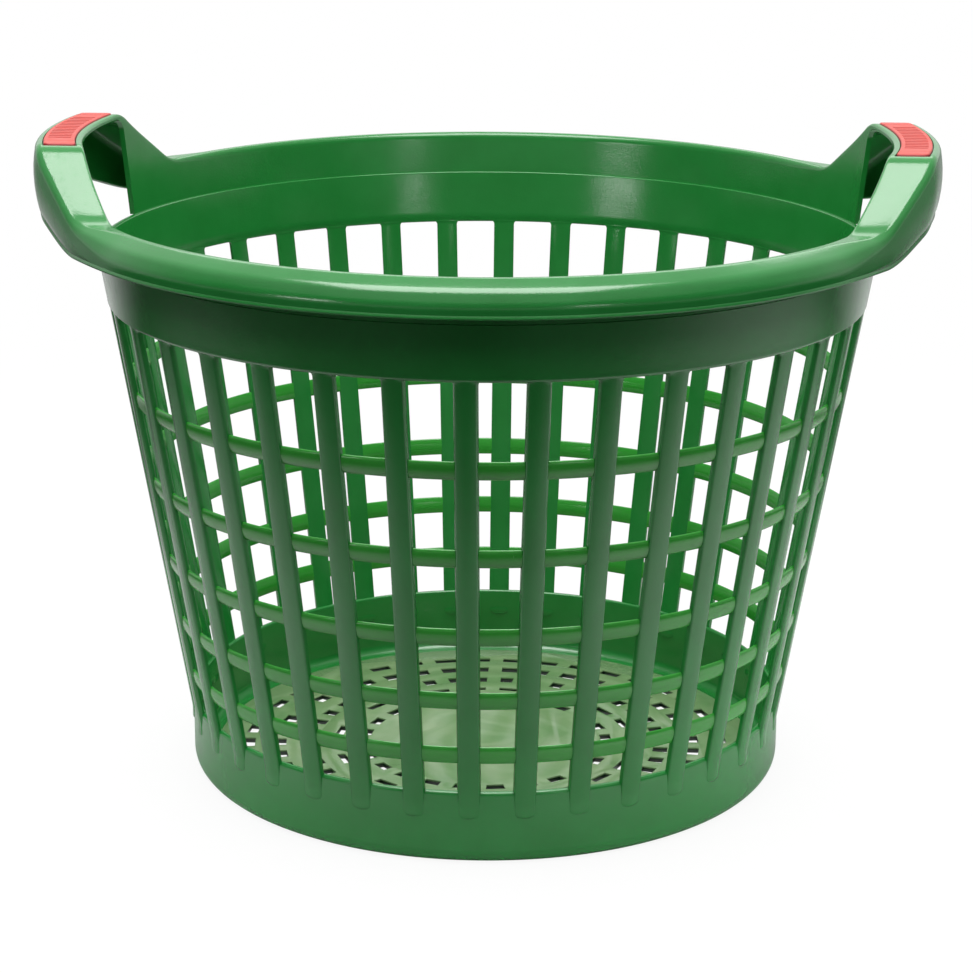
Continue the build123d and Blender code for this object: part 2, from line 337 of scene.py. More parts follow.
def mix_colour(add, share, first, second):
    """Mix two colours by a share."""
    node = add("ShaderNodeMix", data_type="RGBA")
    tree = node.id_data
    tree.links.new(share, node.inputs[0])
    for socket, value in ((node.inputs[6], first), (node.inputs[7], second)):
        if isinstance(value, bpy.types.NodeSocket):
            tree.links.new(value, socket)
        else:
            socket.default_value = (*value, 1.0)
    return node.outputs[2]


# Depths in a slot between which the floor turns from painted shade to its own colour, and heights between
# which the pads turn from painted groove shade to coral
SLOT_DARK = 1.1 * MM
SLOT_OPEN = 0.35 * MM
GROOVE_LEVEL = 0.1 * MM
BAR_LEVEL = 0.62 * MM


def moulded_green(name="moulded_green", shades=("leaf", "leaf_pale"), floor_wear_and_painted_light=False):
    """Semi-gloss moulded plastic with faint clouds, grain and handling scuffs; for the floor also flow
    marks, a paler green that is partly painted light, and painted shade in the slots.
    """
    if name in bpy.data.materials:
        return bpy.data.materials[name]
    colours = bpy.context.scene.basket_colours
    material, tree, shader, add = node_tree(name)
    place = add("ShaderNodeTexCoord").outputs["Object"]
    clouds = noise(add, place, 22.0, 4.0, Roughness=0.55)
    cloud_share = ramp(add, clouds, 0.35, 0.7)
    body = mix_colour(add, cloud_share, *(getattr(colours, tone) for tone in shades))
    if floor_wear_and_painted_light:
        spread = noise(add, place, 14.0, 3.0, Distortion=1.6)
        swirl = add(
            "ShaderNodeTexWave",
            {"Vector": place, "Scale": 17.0, "Distortion": 9.0, "Detail": 3.0, "Detail Scale": 1.3},
            wave_type="RINGS",
            rings_direction="Z",
        )
        streaks = maths(add, "MULTIPLY", swirl.outputs["Fac"], spread)
        # The flow marks are real; the floor's paler green under them is partly painted light
        flow = ramp(add, streaks, 0.18, 0.6, 0.0, 0.75)
        worn_and_lit = mix_colour(add, flow, colours.floor_lit_green, colours.floor_flow)
        body = mix_colour(add, ramp(add, clouds, 0.3, 0.75, 0.55, 1.0), body, worn_and_lit)
        # Painted shade: below the floor's top the colour turns to the dark slot shade, inside the slots
        height = add("ShaderNodeSeparateXYZ", {"Vector": place}).outputs["Z"]
        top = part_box("floor_plate")[1].z
        outside_slot_shade = ramp(add, height, top - SLOT_DARK, top - SLOT_OPEN)
        body = mix_colour(add, outside_slot_shade, colours.slot_shade, body)
    tree.links.new(body, shader.inputs["Base Color"])
    scuff_place = add("ShaderNodeMapping", {"Vector": place, "Scale": (1.0, 1.0, 0.16)}).outputs["Vector"]
    scuffs = ramp(add, noise(add, scuff_place, 320.0, 2.0, Roughness=0.6), 0.56, 0.78)
    patches = ramp(add, noise(add, place, 9.0, 3.0), 0.4, 0.7, 0.0, 0.12)
    gloss = maths(add, "MULTIPLY_ADD", scuffs, patches, 0.17)
    tree.links.new(gloss, shader.inputs["Roughness"])
    shader.inputs["IOR"].default_value = 1.49
    shader.inputs["Specular IOR Level"].default_value = 0.85
    waves = noise(add, place, 45.0, 2.0)
    grain = noise(add, place, 900.0, 2.0)
    relief = maths(add, "MULTIPLY_ADD", waves, 3.0, grain)
    bump = add("ShaderNodeBump", {"Height": relief, "Strength": 0.12, "Distance": 0.0004})
    tree.links.new(bump.outputs["Normal"], shader.inputs["Normal"])
    return material


def soft_coral():
    """Satin soft-touch pad, darker in its grooves as painted shade, with a fine grain."""
    name = "soft_coral"
    if name in bpy.data.materials:
        return bpy.data.materials[name]
    colours = bpy.context.scene.basket_colours
    material, tree, shader, add = node_tree(name)
    place = add("ShaderNodeTexCoord").outputs["Object"]
    height = add("ShaderNodeSeparateXYZ", {"Vector": place}).outputs["Z"]
    top = sizes().height
    raised = ramp(add, height, top + GROOVE_LEVEL, top + BAR_LEVEL)
    clouds = noise(add, place, 120.0, 3.0)
    mottle = ramp(add, clouds, 0.3, 0.8, 0.78, 1.0)
    # Painted shade: the grooves between the raised bars take the deep coral
    body = mix_colour(add, maths(add, "MULTIPLY", raised, mottle), colours.coral_groove_shade, colours.coral)
    tree.links.new(body, shader.inputs["Base Color"])
    tree.links.new(ramp(add, clouds, 0.3, 0.7, 0.42, 0.56), shader.inputs["Roughness"])
    grain = noise(add, place, 1400.0, 2.0)
    bump = add("ShaderNodeBump", {"Height": grain, "Strength": 0.2, "Distance": 0.0002})
    tree.links.new(bump.outputs["Normal"], shader.inputs["Normal"])
    return material


# Base band: its wall, the rounds of its foot and upper edges, and the bevels of the floor plate's seat
BAND_WALL = 3.4 * MM
BAND_FOOT = 9.0 * MM
BAND_OUTER_EDGE = 2.0 * MM
BAND_INNER_EDGE = 1.38 * MM
SEAT_LOW_BEVEL = 0.6 * MM
SEAT_TOP_BEVEL = 0.4 * MM


class BASKET_OT_base_band(bpy.types.Operator):
    """Spin the closed band at the base, with its rounded foot and inner cove"""

    bl_idname = "basket.base_band"
    bl_label = "Base Band"

    def execute(self, context):
        size = sizes()
        outer = band_radius()
        inner = outer - BAND_WALL
        turn = (outer - BAND_FOOT, BAND_FOOT)
        top = size.band_height
        seat = size.floor_radius
        section = arc((outer - BAND_OUTER_EDGE, top - BAND_OUTER_EDGE), BAND_OUTER_EDGE, 90, 0, 6)
        section += [(outer, 0.5 * top)]
        section += arc(turn, BAND_FOOT, 0, -90, 10)
        section += [(seat + SEAT_LOW_BEVEL, 0.0), (seat, SEAT_LOW_BEVEL)]
        section += [(seat, BAND_WALL - SEAT_TOP_BEVEL), (seat + SEAT_TOP_BEVEL, BAND_WALL)]
        section += arc(turn, BAND_FOOT - BAND_WALL, -90, 0, 8)
        section += [(inner, 0.5 * top)]
        section += arc((inner + BAND_INNER_EDGE, top - BAND_INNER_EDGE), BAND_INNER_EDGE, 180, 90, 5)
        piece = spin_section("base_band_moulded", section)
        shade(piece)
        finish_piece(piece, moulded_green(), "basket_body", "base_band")
        return {"FINISHED"}


# Rings of floor slots from the outside in: outer and inner reach in millimetres, and how many
SLOT_RINGS = (
    (134.0, 128.0, 40),
    (118.7, 110.7, 40),
    (101.4, 93.4, 40),
    (84.1, 79.6, 24),
    (70.3, 64.3, 24),
)
SLOT_COUNT = sum(count for outer, inner, count in SLOT_RINGS)
CUT_OVER = 2.0 * MM
FLOOR_EDGE = 0.45 * MM
FLOOR_STEPS = 240


class BASKET_OT_floor_plate(bpy.types.Operator):
    """Cut the rings of drain slots through the floor plate and soften their edges"""

    bl_idname = "basket.floor_plate"
    bl_label = "Floor Plate"

    def execute(self, context):
        size = sizes()
        low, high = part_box("floor_plate")
        deselect()
        bpy.ops.mesh.primitive_cylinder_add(
            vertices=FLOOR_STEPS,
            radius=size.floor_radius,
            depth=high.z - low.z,
            location=(0, 0, (low.z + high.z) / 2),
        )
        plate = start_piece("floor_plate_moulded")
        bpy.ops.object.transform_apply(location=True, rotation=True, scale=True)
        cutters = []
        for outer, inner, count in SLOT_RINGS:
            cutters.append(self.slot_ring(outer * MM, inner * MM, count, low.z, high.z))
        activate(*cutters)
        bpy.ops.object.join()
        cutter = bpy.context.object
        apply_modifier(plate, "BOOLEAN", operation="DIFFERENCE", solver="EXACT", object=cutter)
        bpy.data.objects.remove(cutter, do_unlink=True)
        apply_modifier(
            plate, "BEVEL", width=FLOOR_EDGE, segments=2, limit_method="ANGLE", angle_limit=radians(50)
        )
        if len(plate.data.polygons) < 4 * SLOT_COUNT:
            raise RuntimeError("the slots didn't cut through the floor plate")
        shade(plate, 30.0)
        # The floor's material has flow marks, a green made paler by painted light, and painted shade in the
        # slots
        floor_green_with_painted_light = moulded_green("worn_floor_with_painted_light", floor_wear_and_painted_light=True)
        finish_piece(plate, floor_green_with_painted_light, "basket_body", "floor_plate")
        return {"FINISHED"}

    def slot_ring(self, outer, inner, count, low, high):
        """One ring of slot shapes, each a little deeper than the plate."""
        half_turn = tan(pi / count)
        spoke = sizes().slot_spoke / 2
        deselect()
        bpy.ops.mesh.primitive_cube_add(size=1.0)
        ring = start_piece("slot_shapes")
        for vertex in ring.data.vertices:
            radius = outer if vertex.co.x > 0 else inner
            half = radius * half_turn - spoke
            vertex.co = (
                radius,
                half if vertex.co.y > 0 else -half,
                high + CUT_OVER if vertex.co.z > 0 else low - CUT_OVER,
            )
        ring.data.transform(Matrix.Rotation(pi / count, 4, "Z"))
        bpy.ops.object.mode_set(mode="EDIT")
        repeat_round(count)
        bpy.ops.object.mode_set(mode="OBJECT")
        return ring


# Section of a rib: half widths, edge rounds, depth below the wall's outermost surface and crown
RIB_FRONT_HALF = 5.5
RIB_BACK_HALF = 5.95
RIB_FRONT_ROUND = 1.15
RIB_BACK_ROUND = 0.5
RIB_INSET = 0.3
RIB_CROWN = 0.55

# Ends of a rib: a rounded foot on the base band, and a head that widens into the collar
RIB_FOOT_DROP = 2.2
RIB_FOOT_TUCK = 0.02
RIB_FOOT_PROUD = 0.8
RIB_FOOT_SWELL = 1.1
RIB_FOOT_SINK = 0.1
RIB_FOOT_ROUND = 3.2
RIB_FOOT_RISES = (1.6, 2.7, 4.0, 6.0, 9.0)
RIB_HEAD_ROUND = 2.2
RIB_HEAD_LAP = 0.6
RIB_HEAD_END = 3.5


def rib_section(height, front, spread=0.0):
    """Closed section of a rib at a height, with its front face at a radius, in millimetres."""
    back = wall_radius(height * MM) / MM - sizes().wall_depth / MM
    edge = spread + RIB_FRONT_HALF - RIB_FRONT_ROUND
    half = [(front - RIB_CROWN * share**2, share * edge) for share in (0.2, 0.5, 0.75)]
    half += [
        (front - RIB_CROWN - RIB_FRONT_ROUND + RIB_FRONT_ROUND * cos(radians(turn)),
         edge + RIB_FRONT_ROUND * sin(radians(turn)))
        for turn in (8, 30, 50, 70, 90)
    ]
    half += [
        (back + RIB_BACK_ROUND - RIB_BACK_ROUND * sin(radians(turn)),
         spread + RIB_BACK_HALF - RIB_BACK_ROUND + RIB_BACK_ROUND * cos(radians(turn)))
        for turn in (0, 45, 90)
    ]
    points = half + [(radius, -across) for radius, across in reversed(half)]
    return [(radius * MM, across * MM, height * MM) for radius, across in points]


class BASKET_OT_ribs(bpy.types.Operator):
    """Shape one leaning rib with its rounded edges and foot, and repeat it round the basket"""

    bl_idname = "basket.ribs"
    bl_label = "Ribs"

    def execute(self, context):
        size = sizes()
        band = band_radius() / MM
        foot = size.rib_foot / MM
        collar = size.collar_low / MM
        rows = []
        for turn in (-10, 0, 12, 25, 40, 55, 70, 85):
            rise = RIB_FOOT_ROUND * (1.0 - cos(radians(turn)))
            proud = RIB_FOOT_SWELL * sin(radians(turn)) - RIB_FOOT_SINK
            narrow = -RIB_FOOT_ROUND * (1.0 - sin(radians(max(turn, 0))))
            height = foot - RIB_FOOT_DROP + (rise if turn >= 0 else -RIB_FOOT_TUCK)
            rows.append(rib_section(height, band + min(proud, RIB_FOOT_PROUD), narrow))
        heights = [(foot + rise, 0.0) for rise in RIB_FOOT_RISES]
        for turn in (0, 20, 40, 60, 75, 85):
            drop = RIB_HEAD_ROUND * (1.0 - sin(radians(turn)))
            heights.append((collar + RIB_HEAD_LAP - drop, RIB_HEAD_ROUND * (1.0 - cos(radians(turn)))))
        heights.append((collar + RIB_HEAD_END, RIB_HEAD_ROUND))
        for height, spread in heights:
            lean = wall_radius(height * MM) / MM - RIB_INSET
            rows.append(rib_section(height, max(lean, band + RIB_FOOT_PROUD), spread))
        piece = loft("ribs_moulded", rows)
        bpy.ops.object.mode_set(mode="EDIT")
        repeat_round(size.rib_count)
        bpy.ops.object.mode_set(mode="OBJECT")
        shade(piece, 40.0)
        finish_piece(piece, moulded_green(), "basket_body", *nodes_named("rib_"))
        return {"FINISHED"}


# Hoops: heights of their lower edges, and depths below the wall's outermost surface, in millimetres
HOOP_LOWS = (56.0, 86.5, 121.5, 163.8, 209.8)
HOOP_FRONT = 1.75
HOOP_SWELL = 1.5
HOOP_BACK = 3.8
HOOP_BEVEL = 0.25


class BASKET_OT_hoops(bpy.types.Operator):
    """Spin the rounded hoops that pass behind the ribs' faces"""

    bl_idname = "basket.hoops"
    bl_label = "Hoops"

    def execute(self, context):
        half = sizes().hoop_height / 2
        hoops = []
        for low in HOOP_LOWS:
            middle = low * MM + half
            profile = []
            for turn in (-90, -76, -62, -48, -32, -16, 0, 16, 32, 48, 62, 76, 90):
                share = sin(radians(turn))
                profile.append((share, HOOP_FRONT + HOOP_SWELL * (1.0 - cos(radians(turn)))))
            profile += [(0.97, HOOP_BACK - HOOP_BEVEL), (0.9, HOOP_BACK), (0.0, HOOP_BACK)]
            profile += [(-0.9, HOOP_BACK), (-0.97, HOOP_BACK - HOOP_BEVEL)]
            section = []
            for share, depth in profile:
                height = middle + share * half
                section.append((wall_radius(height) - depth * MM, height))
            hoops.append(spin_section("hoop_moulded", section))
        activate(*hoops)
        bpy.ops.object.join()
        piece = start_piece("hoops_moulded")
        shade(piece, 40.0)
        # The hoops take the lighter copy of the green: painted light, as they are the same moulding as the
        # rest
        lit_hoop_green = moulded_green("hoop_lit_green", ("hoop", "hoop_lit_pale"))
        finish_piece(piece, lit_hoop_green, "basket_body", *nodes_named("hoop_"))
        return {"FINISHED"}


# Collar: rounds of its foot and upper edges, and the bevel inside its foot as steps outwards and up
COLLAR_FOOT = 2.0 * MM
COLLAR_EDGE = 0.6 * MM
COLLAR_INNER_FOOT = 1.2 * MM
COLLAR_BEVEL = ((0.4, 0.3), (1.0, 0.0))


class BASKET_OT_collar(bpy.types.Operator):
    """Spin the smooth collar, with a flat top that carries the rim"""

    bl_idname = "basket.collar"
    bl_label = "Collar"

    def execute(self, context):
        size = sizes()
        low = size.collar_low
        top = size.ledge_top
        depth = size.wall_depth
        start = low + COLLAR_FOOT
        end = top - COLLAR_EDGE
        inner_start = low + COLLAR_INNER_FOOT
        section = arc((wall_radius(start) - COLLAR_FOOT, start), COLLAR_FOOT, -90, 0, 6)
        for step in range(1, 8):
            height = start + (end - start) * step / 7
            section.append((wall_radius(height), height))
        section += arc((wall_radius(top) - 2 * COLLAR_EDGE, end), COLLAR_EDGE, 50, 90, 2)
        section += arc((wall_radius(top) - depth + COLLAR_EDGE, end), COLLAR_EDGE, 90, 180, 4)
        for step in range(1, 7):
            height = end + (inner_start - end) * step / 6
            section.append((wall_radius(height) - depth, height))
        foot = wall_radius(low) - depth
        section += [(foot + out * MM, low + up * MM) for out, up in COLLAR_BEVEL]
        piece = spin_section("collar_moulded", section)
        shade(piece, 30.0)
        finish_piece(piece, moulded_green(), "basket_body", "collar")
        return {"FINISHED"}


# Handle outline: half widths, radii and heights in millimetres
GRIP_HALF = 54.6
GRIP_ROUND = 17.4
RAMP_FOOT = 97.5
FOOT_ROUND = 22.0
HANDLE_TIP = 234.5
HANDLE_TURN = 0.596
HANDLE_REACH = 228.0
SHOULDER_BLEND = 2.2
LIP_RADIUS = 222.3
REFERENCE_RADIUS = 216.0
RIM_COLUMNS = 32

# Stretches from a handle's middle: where the rim's bead rises, the sections turn to the basket's axis,
# the lip comes down and the skirt's bulge fades
BEAD_START = 88.0
BEAD_END = 132.0
STRAIGHT_SPAN = (62.0, 128.0)
SKIRT_SPAN = (45.0, 98.0)
BULGE_SPAN = (60.0, 120.0)

# Recess for the pad: its size, the slope of its sides and the stretch over which it gives way to the ramp
RECESS_HALF = 52.8
RECESS_INNER = 213.3
RECESS_OUTER = 230.5
RECESS_DEPTH = 1.7
RECESS_LIP = 0.4
RECESS_SLACK = 0.01
RECESS_SLOPE = 0.15
RECESS_STEP = 4.0
RECESS_FADE = (55.8, 85.5)

# Walls, hand opening and the web beside it
RIM_WALL = 3.0
WEB_WALL = 2.5
GRIP_WALL = 4.0
OPENING_HALF = 55.0
OPENING_LEAN = 4.5
OPENING_FADE = 30.0
OPENING_FLANGE = 2.5
OPENING_ROUND = 8.0
WEB_SLACK = 0.1
WEB_LEAST = 0.05
WEB_BELOW_CEILING = 0.8
WEB_BELOW_EDGE = 2.2
WEB_FILLET_WIDE = 1.6
WEB_FILLET_HIGH = 0.5

# Skirt and lip: rise under a handle, bulge and tuck of the skirt's face, rounds of the lip's lower edge as
# steps inwards and up, and the corner rounds of the hollow
SKIRT_RISE = 14.5
SKIRT_BULGE = 6.0
SKIRT_TUCK = 2.2
LIP_BEAD = 0.6
LIP_BEAD_TOP = 2.0
LIP_BEAD_POINTS = ((LIP_BEAD, 2.1), (0.16, 1.45), (0.0, 0.9), (0.2, 0.25), (0.8, 0.0))
LIP_INNER_EDGE = 0.8
LIP_INNER_POINTS = ((LIP_INNER_EDGE, 0.0), (0.24, 0.24), (0.0, LIP_INNER_EDGE))
GRIP_CORNER = 4.0
RIM_CORNER = 8.6

# Edge rounds on a handle and on the rim between the handles, as widths and heights
HANDLE_INNER_ROUND = (1.5, 1.5)
HANDLE_OUTER_ROUND = 3.6
RIM_INNER_ROUND = (2.9, 4.2)
RIM_OUTER_REACH = 13.79

# Outer half of the rim's section, from its crest out and down: two slanting bands with rounded bends
RIM_OUTER_POINTS = (
    (0.0, 0.0),
    (0.94, 0.07),
    (1.8, 0.28),
    (2.63, 0.61),
    (7.86, 3.16),
    (8.83, 3.72),
    (9.71, 4.41),
    (10.53, 5.26),
    (11.21, 6.23),
    (12.65, 8.6),
    (13.26, 9.85),
    (13.67, 11.33),
    (13.79, 12.72),
)


def handle_columns():
    """Angles from the handle's middle at which its sections stand, for a quarter of the rim."""
    places = [6.0 * step for step in range(8)]
    places += [44.5, 46.0, 47.0, 48.0, 49.0, 49.8, 50.6, 51.4, 52.0, 52.65, 52.8, 53.4, 53.9, 54.3]
    places += [54.6, 54.8, 54.9, 54.96, 54.99, 55.0, 55.3, 56.0, 57.0, 58.0, 59.1, 60.5, 62.5]
    places += [65.0 + 3.0 * step for step in range(10)]
    places += [94.0, 95.4, 96.3, 97.2, 98.1, 99.0, 99.9, 100.8, 101.7, 102.6, 104.0, 106.0]
    places += [109.0 + 3.0 * step for step in range(12)]
    turns = [asin(place / REFERENCE_RADIUS) for place in places]
    last = turns[-1]
    turns += [last + (pi / 2 - last) * step / RIM_COLUMNS for step in range(1, RIM_COLUMNS)]
    return turns


def web_radius(height):
    """Inner radius of the leaning web at a height, both in millimetres."""
    size = sizes()
    foot = (wall_radius(size.ledge_top) - size.wall_depth + size.ledge_width) / MM
    return foot + (height - size.ledge_top / MM) * tan(size.web_lean)


def handle_top(place):
    """Height of the top at a distance from the handle's middle: grip, rounded bend, ramp and rim."""
    size = sizes()
    grip = size.height / MM
    rim = size.rim_top / MM
    fall = atan2(grip - rim, RAMP_FOOT - GRIP_HALF)
    bend = GRIP_ROUND * tan(fall / 2)
    foot = FOOT_ROUND * tan(fall / 2)
    if place <= GRIP_HALF - bend:
        return grip
    if place <= GRIP_HALF + bend * cos(fall):
        return grip - GRIP_ROUND + sqrt(GRIP_ROUND**2 - (place - GRIP_HALF + bend) ** 2)
    if place <= RAMP_FOOT - foot * cos(fall):
        return grip - (place - GRIP_HALF) * tan(fall)
    if place <= RAMP_FOOT + foot:
        return rim + FOOT_ROUND - sqrt(FOOT_ROUND**2 - (RAMP_FOOT + foot - place) ** 2)
    return rim


def opening_top():
    """Height of the hand opening's upper edge, in millimetres."""
    return sizes().height / MM - OPENING_FLANGE


def opening_low(place):
    """Height of the web's lower edge: the ledge, or the upper edge of the hand opening."""
    start = OPENING_HALF - OPENING_ROUND
    if place >= OPENING_HALF:
        return sizes().ledge_top / MM
    if place <= start:
        return opening_top()
    return opening_top() - OPENING_ROUND + sqrt(OPENING_ROUND**2 - (place - start) ** 2)


def opening_shift(place, height):
    """How far the web is drawn in towards the middle, so that the opening narrows downwards."""
    ledge = sizes().ledge_top / MM
    share = min(1.0, max(0.0, (opening_top() - height) / (opening_top() - ledge)))
    return OPENING_LEAN * share * (1.0 - smooth_step(OPENING_HALF, OPENING_HALF + OPENING_FADE, place))


def handle_outer(place):
    """Outer radius at a distance from the handle's middle: grip, straight shoulder and lip."""
    turn = asin(min(1.0, place / HANDLE_REACH))
    if turn >= HANDLE_TURN:
        return LIP_RADIUS
    shoulder = LIP_RADIUS / cos(HANDLE_TURN - turn)
    gap = HANDLE_TIP - shoulder
    return (HANDLE_TIP + shoulder - sqrt(gap * gap + SHOULDER_BLEND)) / 2


def between(first, second, share):
    """A pair of values part of the way from one pair to another."""
    return tuple(a + (b - a) * share for a, b in zip(first, second))


def upper_face(place, outer):
    """Points across the upper face: inner edge, flat with the pad's recess, and outer edge."""
    bead = smooth_step(BEAD_START, BEAD_END, place)
    base = handle_top(place)
    inner_wide, inner_high = between(HANDLE_INNER_ROUND, RIM_INNER_ROUND, bead)
    outer_wide = HANDLE_OUTER_ROUND + (RIM_OUTER_REACH - HANDLE_OUTER_ROUND) * bead
    inner = web_radius(base - inner_high)
    points = []
    for angle in (0, 22, 45, 68, 90):
        turn = radians(angle)
        points.append((inner + inner_wide * (1.0 - cos(turn)), base - inner_high * (1.0 - sin(turn))))
    recess = RECESS_DEPTH if place < RECESS_HALF - RECESS_SLACK else 0.0
    flat_start = inner + inner_wide
    flat_end = outer - outer_wide
    plain = smooth_step(*RECESS_FADE, place)
    marks = (
        RECESS_INNER - RECESS_LIP,
        RECESS_INNER,
        RECESS_INNER + RECESS_SLOPE,
        RECESS_INNER + RECESS_STEP,
        RECESS_OUTER - RECESS_STEP,
        RECESS_OUTER - RECESS_SLOPE,
        RECESS_OUTER,
    )
    for number, mark in enumerate(marks):
        even = flat_start + (flat_end - flat_start) * (number + 1) / (len(marks) + 1)
        sunk = recess if 2 <= number <= 5 else 0.0
        points.append((mark + (even - mark) * plain, base - sunk))
    for number, rim_spot in enumerate(RIM_OUTER_POINTS):
        turn = pi / 2 * number / (len(RIM_OUTER_POINTS) - 1)
        handle_spot = (HANDLE_OUTER_ROUND * sin(turn), HANDLE_OUTER_ROUND * (1.0 - cos(turn)))
        out, down = between(handle_spot, rim_spot, bead)
        points.append((flat_end + out, base - down))
    return points


def rim_section(turn):
    """Closed section of the rim or handle at an angle from the handle's middle, in millimetres."""
    size = sizes()
    place = REFERENCE_RADIUS * sin(turn)
    bead = smooth_step(BEAD_START, BEAD_END, place)
    top = handle_top(place)
    low = opening_low(place)
    outer = handle_outer(place)
    upper = upper_face(place, outer)
    skirt = (size.rim_top - size.lip_drop) / MM + SKIRT_RISE * (1.0 - smooth_step(*SKIRT_SPAN, place))
    swell = 1.0 - smooth_step(*BULGE_SPAN, place)
    web = []
    for share in (0.0, 0.06, 0.2, 0.4, 0.6, 0.8, 0.94):
        height = low + (upper[0][1] - low) * share
        web.append((web_radius(height), height))
    skirt_top = upper[-1][1]

    def skirt_radius(height):
        share = min(1.0, max(0.0, (skirt_top - height) / (skirt_top - skirt)))
        return outer + swell * (SKIRT_BULGE * share * (1.0 - share) - SKIRT_TUCK * share * share)

    outside = []
    for share in (0.12, 0.26, 0.42, 0.58, 0.74, 0.88):
        height = skirt_top + (skirt + LIP_BEAD_TOP - skirt_top) * share
        outside.append((skirt_radius(height), height))
    foot = skirt_radius(skirt) + LIP_BEAD
    outside += [(foot - inwards, skirt + up) for inwards, up in LIP_BEAD_POINTS]
    under = foot - LIP_BEAD - RIM_WALL
    inside = [(under + out, skirt + up) for out, up in LIP_INNER_POINTS]
    ceiling = top - GRIP_WALL + (GRIP_WALL - RIM_WALL) * bead
    bend = GRIP_CORNER + (RIM_CORNER - GRIP_CORNER) * bead
    corner = ceiling - bend
    start = skirt + LIP_INNER_EDGE
    for share in (0.3, 0.6, 0.85, 1.0):
        height = start + (corner - start) * share
        inside.append((skirt_radius(height) - RIM_WALL, height))
    turned = skirt_radius(corner) - RIM_WALL - bend
    for angle in (30, 60, 90):
        inside.append((turned + bend * cos(radians(angle)), corner + bend * sin(radians(angle))))
    web_top = max(low + WEB_LEAST, min(ceiling - WEB_BELOW_CEILING, upper[0][1] - WEB_BELOW_EDGE))
    fillet = web_radius(web_top) + WEB_WALL + WEB_FILLET_WIDE
    inside.append((fillet, max(web_top, ceiling - WEB_FILLET_HIGH)))
    for share in (0.0, 0.2, 0.4, 0.6, 0.8, 1.0):
        height = web_top + (low - web_top) * share
        inside.append((web_radius(height) + WEB_WALL, height))
    return web + upper + outside + inside


class BASKET_OT_rim_and_handles(bpy.types.Operator):
    """Loft one ring of sections into the rolled rim, raised into a channelled handle on each side"""

    bl_idname = "basket.rim_and_handles"
    bl_label = "Rim and Handles"

    def execute(self, context):
        quarter = handle_columns()
        half = quarter + [pi / 2] + [pi - turn for turn in reversed(quarter[1:])]
        turns = half + [turn + pi for turn in half]
        piece = loft("rim_and_handles_moulded", [self.ring(turn) for turn in turns], closed_round=True)
        shade(piece, 33.0)
        finish_piece(
            piece, moulded_green(), "basket_body", "rim_front", "rim_rear", "handle_left", "handle_right"
        )
        return {"FINISHED"}

    def ring(self, turn):
        """Points of the section that stands at an angle round the basket."""
        side = -1.0 if pi / 2 < turn < 3 * pi / 2 else 1.0
        away = 1.0 if sin(turn) >= 0 else -1.0
        near = atan2(abs(sin(turn)), abs(cos(turn)))
        place = REFERENCE_RADIUS * sin(near)
        straight = 1.0 - smooth_step(*STRAIGHT_SPAN, place)
        points = []
        for radius, height in rim_section(near):
            across = radius * sin(near) * (1.0 - straight) + place * straight
            if radius < web_radius(height) + WEB_WALL + WEB_SLACK:
                across -= opening_shift(place, height)
            along = sqrt(max(0.0, radius**2 - across**2))
            points.append((side * along * MM, away * across * MM, height * MM))
        return points


# Grip pad: gap in its recess, rounds, height above the grip and pattern, in millimetres
PAD_GAP = 0.5
PAD_CORNER = 2.8
PAD_EDGE = 0.9
PAD_PROUD = 0.7
PAD_END_GROOVE = 43.0
PAD_GROOVE_HALF = 0.2
PAD_GROOVE_END = 0.3
PAD_BARS = 15
PAD_BAR_PITCH = 5.1
PAD_BAR_WIDTH = 3.0
PAD_BAR_INSET = 2.2
PAD_BAR_MARGIN = 4.0
PAD_RELIEF = 0.5
PAD_EDGE_LINES = (0.0, 0.07, 0.25, 0.55, PAD_EDGE, 1.6, PAD_CORNER)
PAD_MARK_LINES = (-0.3, -0.1, 0.1, 0.3)


def pad_lines(half, marks):
    """Places of the pad's grid lines along one direction: close together at its edges and marks."""
    lines = set()
    for inset in PAD_EDGE_LINES:
        lines.update((half - inset, inset - half))
    for mark in marks:
        lines.update(mark + offset for offset in PAD_MARK_LINES)
    return sorted(round(line, 3) for line in lines)


